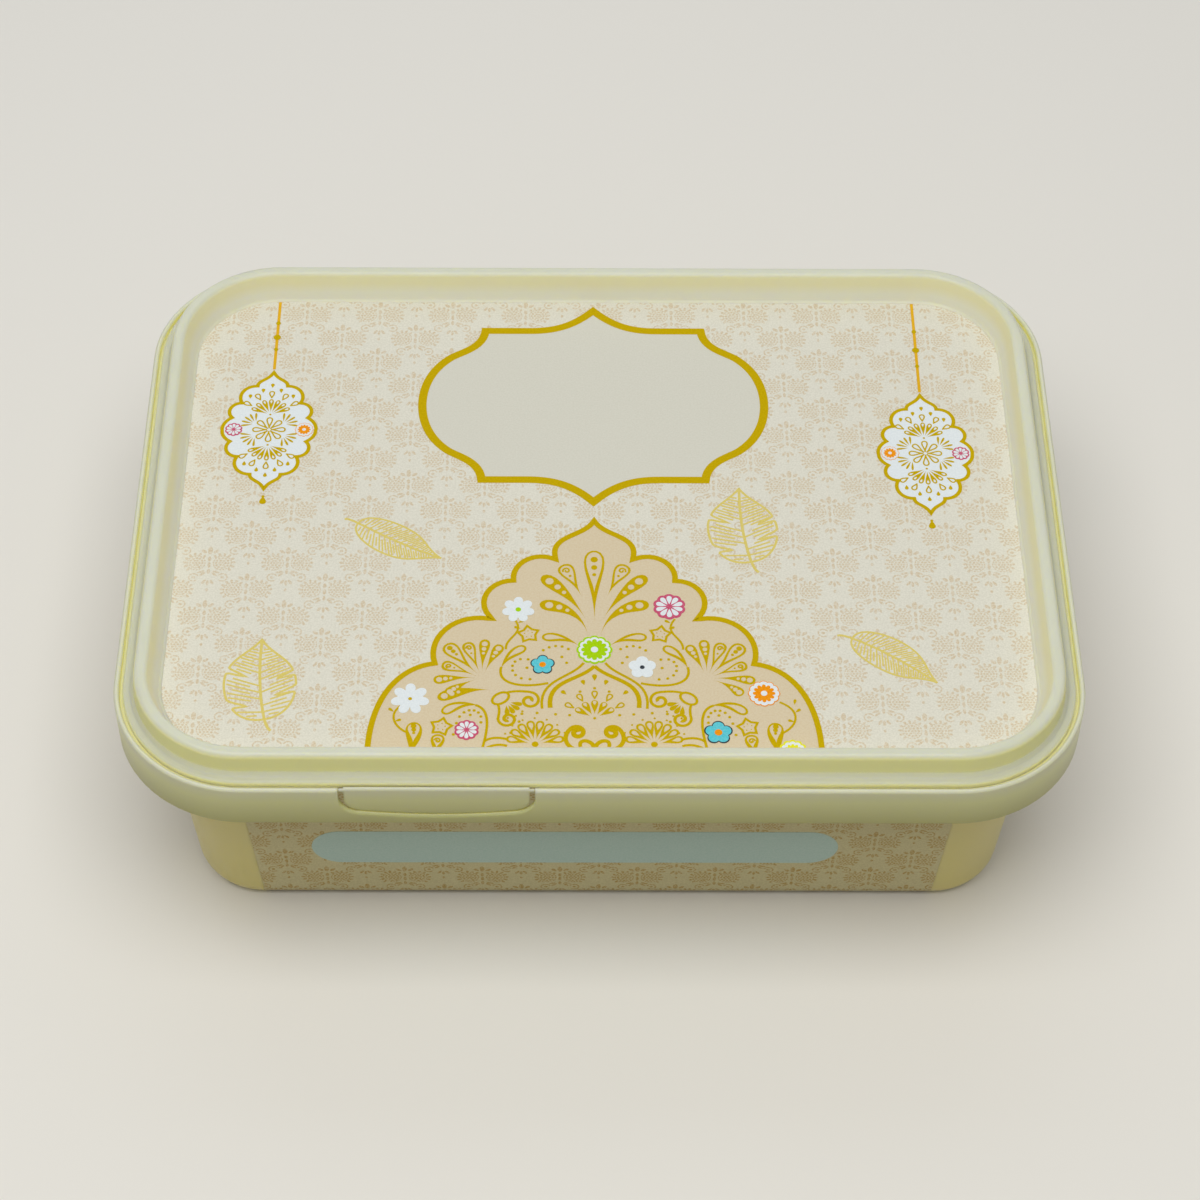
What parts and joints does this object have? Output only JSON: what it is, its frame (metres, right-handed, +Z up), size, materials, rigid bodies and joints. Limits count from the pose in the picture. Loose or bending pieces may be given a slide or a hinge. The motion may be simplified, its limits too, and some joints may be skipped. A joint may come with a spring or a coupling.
{
  "type": "sweet tub",
  "caption": "Rectangular lidded sweet tub with drafted walls, a shrouded rim with a tear-off finger tab, and a press-on lid whose raised stacking bead frames a printed panel.",
  "frame": {"origin": "centre of the base, on the plane of the standing ring", "axes": "+X along the length, -Y towards the front with the tear-off tab, +Z up out of the lid"},
  "size_m": [0.18, 0.134, 0.056],
  "materials": {
    "ivory_polypropylene": "moulded, satin, slightly translucent",
    "printed_film": "printed in-mould film, satin with a fine grain"
  },
  "bodies": {
    "tub": {"tub": "ivory_polypropylene", "tub_label": "printed_film"},
    "lid": {"lid": "ivory_polypropylene", "lid_label": "printed_film"},
    "tab": {"tear_tab": "ivory_polypropylene"}
  },
  "joints": [
    {"name": "lid_lift", "type": "slide", "parent": "tub", "child": "lid", "axis": [0, 0, 1], "range_m": [0, 0.08]},
    {"name": "tab_fold", "type": "hinge", "parent": "tub", "child": "tab", "pos_m": [-0.0296, -0.06655, 0.0436], "axis": [1, 0, 0], "range_deg": [0, 100]}
  ]
}
